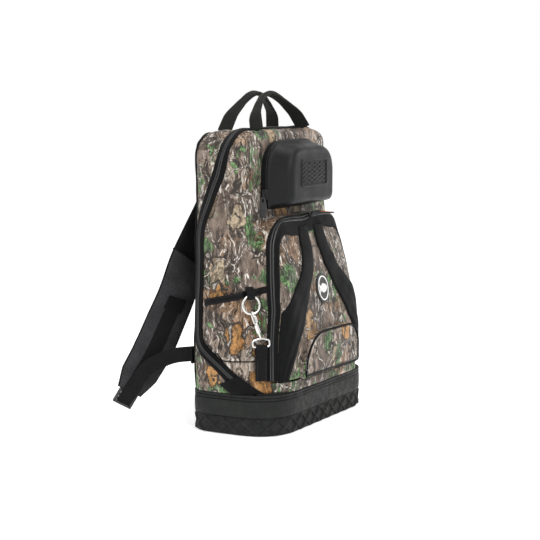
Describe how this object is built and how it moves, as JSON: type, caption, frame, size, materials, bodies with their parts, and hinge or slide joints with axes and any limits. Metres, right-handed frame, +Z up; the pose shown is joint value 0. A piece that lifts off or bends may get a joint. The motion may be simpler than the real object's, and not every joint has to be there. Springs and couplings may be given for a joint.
{
  "type": "tackle backpack",
  "caption": "Camouflage fishing backpack with a moulded tread base, zipped fold-down front, front pocket, hard case, side pockets, carry handles and padded straps.",
  "frame": {"origin": "middle of the moulded base's underside, on the floor", "axes": "+Z up, -Y out of the front pocket, +Y out of the back panel, -X towards the wearer's left side"},
  "size_m": [0.374, 0.3304, 0.5506],
  "materials": {
    "base_rubber": "matt moulded tread",
    "board": "smooth",
    "camo_fabric": "printed woodland pattern, coated weave",
    "zip_tape": "woven tape with coil",
    "black_fabric": "ripstop weave",
    "mesh_pad": "spacer mesh",
    "webbing": "ribbed webbing",
    "lining": "plain lining",
    "case_shell": "fine leather grain",
    "badge_rubber": "moulded, white rim",
    "handle_webbing": "woven",
    "strap_fabric": "padded",
    "black_plastic": "moulded",
    "dark_metal": "satin",
    "pull_rubber": "moulded",
    "nickel": "polished"
  },
  "bodies": {
    "rear_body": {"moulded_base": "base_rubber", "base_board": "board", "rear_shell": "camo_fabric", "rear_zip_tape": "zip_tape", "back_board": "board", "back_pad_left": "mesh_pad", "back_pad_right": "mesh_pad", "lumbar_pad": "mesh_pad", "strap_yoke": "black_fabric", "lower_anchor_left": "webbing", "lower_anchor_right": "webbing", "inner_pocket": "lining"},
    "front_panel": {"zip_end_left": "black_fabric", "zip_end_right": "black_fabric", "front_shell": "camo_fabric", "front_zip_tape": "zip_tape", "pocket_gusset": "camo_fabric", "pocket_zip_tape": "zip_tape", "case_back": "case_shell", "case_gusset": "zip_tape", "side_pocket_left": "camo_fabric", "side_pocket_right": "camo_fabric", "side_binding_left": "black_fabric", "side_binding_right": "black_fabric", "hook_tab": "webbing"},
    "pocket_door": {"door_panel": "camo_fabric", "door_zip_tape": "zip_tape", "swoosh_left": "black_fabric", "swoosh_right": "black_fabric", "arch_pocket": "camo_fabric", "arch_piping": "black_fabric", "badge": "badge_rubber"},
    "case_lid": {"case_lid": "case_shell"},
    "rear_handle": {"rear_handle": "handle_webbing"},
    "front_handle": {"front_handle": "handle_webbing"},
    "strap_left": {"strap_pad_left": "strap_fabric", "ladder_lock_left": "black_plastic", "lower_webbing_left": "webbing"},
    "strap_right": {"strap_pad_right": "strap_fabric", "ladder_lock_right": "black_plastic", "lower_webbing_right": "webbing"},
    "main_slider_1": {"main_slider_1": "dark_metal"},
    "main_pull_1": {"main_pull_1": "pull_rubber"},
    "main_slider_2": {"main_slider_2": "dark_metal"},
    "main_pull_2": {"main_pull_2": "pull_rubber"},
    "case_slider": {"case_slider": "dark_metal"},
    "case_pull": {"case_pull": "pull_rubber"},
    "pocket_slider": {"pocket_slider": "dark_metal"},
    "pocket_pull": {"pocket_pull": "pull_rubber"},
    "ring": {"ring": "nickel"},
    "snap_hook": {"snap_hook": "nickel"},
    "hook_thumb": {"hook_thumb": "nickel"},
    "swivel_eye": {"swivel_eye": "nickel"},
    "tape_strap": {"tape_strap": "webbing"}
  },
  "joints": [
    {"name": "front_panel_fold", "type": "hinge", "parent": "rear_body", "child": "front_panel", "pos_m": [0, -0.086, 0.068], "axis": [1, 0, 0], "range_deg": [0, 75]},
    {"name": "pocket_door_fold", "type": "hinge", "parent": "front_panel", "child": "pocket_door", "pos_m": [0, -0.0846, 0.0859], "axis": [1, 0, 0], "range_deg": [0, 70]},
    {"name": "case_lid_hinge", "type": "hinge", "parent": "front_panel", "child": "case_lid", "pos_m": [0, -0.0188, 0.359], "axis": [1, 0, 0], "range_deg": [0, 22]},
    {"name": "rear_handle_fold", "type": "hinge", "parent": "rear_body", "child": "rear_handle", "pos_m": [0, 0.075, 0.49], "axis": [1, 0, 0], "range_deg": [-80, 0]},
    {"name": "front_handle_fold", "type": "hinge", "parent": "front_panel", "child": "front_handle", "pos_m": [0, -0.006, 0.49], "axis": [1, 0, 0], "range_deg": [0, 70]},
    {"name": "strap_left_swing", "type": "hinge", "parent": "rear_body", "child": "strap_left", "pos_m": [-0.07, 0.0843, 0.424], "axis": [1, 0, 0], "range_deg": [0, 25]},
    {"name": "strap_right_swing", "type": "hinge", "parent": "rear_body", "child": "strap_right", "pos_m": [0.07, 0.0843, 0.424], "axis": [1, 0, 0], "range_deg": [0, 25]},
    {"name": "main_slider_1_slide", "type": "slide", "parent": "rear_body", "child": "main_slider_1", "axis": [-0.05, 0, 0.9987], "range_m": [-0.01, 0.035]},
    {"name": "main_pull_1_swing", "type": "hinge", "parent": "main_slider_1", "child": "main_pull_1", "pos_m": [0.17444, 0.0646, 0.2755], "axis": [0.5, -0.866, 0], "range_deg": [0, 120]},
    {"name": "main_slider_2_slide", "type": "slide", "parent": "rear_body", "child": "main_slider_2", "axis": [-0.05, 0, 0.9987], "range_m": [-0.06, 0]},
    {"name": "main_pull_2_swing", "type": "hinge", "parent": "main_slider_2", "child": "main_pull_2", "pos_m": [0.17689, 0.0646, 0.2265], "axis": [0.5, -0.866, 0], "range_deg": [0, 120]},
    {"name": "case_slider_slide", "type": "slide", "parent": "front_panel", "child": "case_slider", "axis": [0, 0, 1], "range_m": [0, 0.022]},
    {"name": "case_pull_swing", "type": "hinge", "parent": "case_slider", "child": "case_pull", "pos_m": [-0.0982, -0.0175, 0.3745], "axis": [0, 1, 0], "range_deg": [0, 110]},
    {"name": "pocket_slider_slide", "type": "slide", "parent": "pocket_door", "child": "pocket_slider", "axis": [1, 0, 0], "range_m": [-0.05, 0.02]},
    {"name": "pocket_pull_swing", "type": "hinge", "parent": "pocket_slider", "child": "pocket_pull", "pos_m": [0.018, -0.0578, 0.3496], "axis": [1, 0, 0], "range_deg": [0, 60]},
    {"name": "ring_swing", "type": "hinge", "parent": "front_panel", "child": "ring", "pos_m": [-0.16355, -0.03106, 0.227], "axis": [-0.7859, 0.6184, 0], "range_deg": [0, 20]},
    {"name": "snap_hook_swing", "type": "hinge", "parent": "ring", "child": "snap_hook", "pos_m": [-0.1662, -0.03443, 0.19832], "axis": [-0.7859, 0.6184, 0], "range_deg": [0, 35]},
    {"name": "hook_thumb_slide", "type": "slide", "parent": "snap_hook", "child": "hook_thumb", "axis": [0.1559, -0.3016, -0.9406], "range_m": [0, 0.004], "stiffness_N_per_m": 60, "springref_m": -0.002},
    {"name": "swivel_turn", "type": "hinge", "parent": "snap_hook", "child": "swivel_eye", "pos_m": [-0.1592, -0.04727, 0.15978], "axis": [0.1559, -0.3016, -0.9406], "range_deg": [-8, 8]},
    {"name": "tape_strap_swing", "type": "hinge", "parent": "swivel_eye", "child": "tape_strap", "pos_m": [-0.16048, -0.0489, 0.14593], "axis": [-0.7859, 0.6184, 0], "range_deg": [-2, 40]}
  ]
}
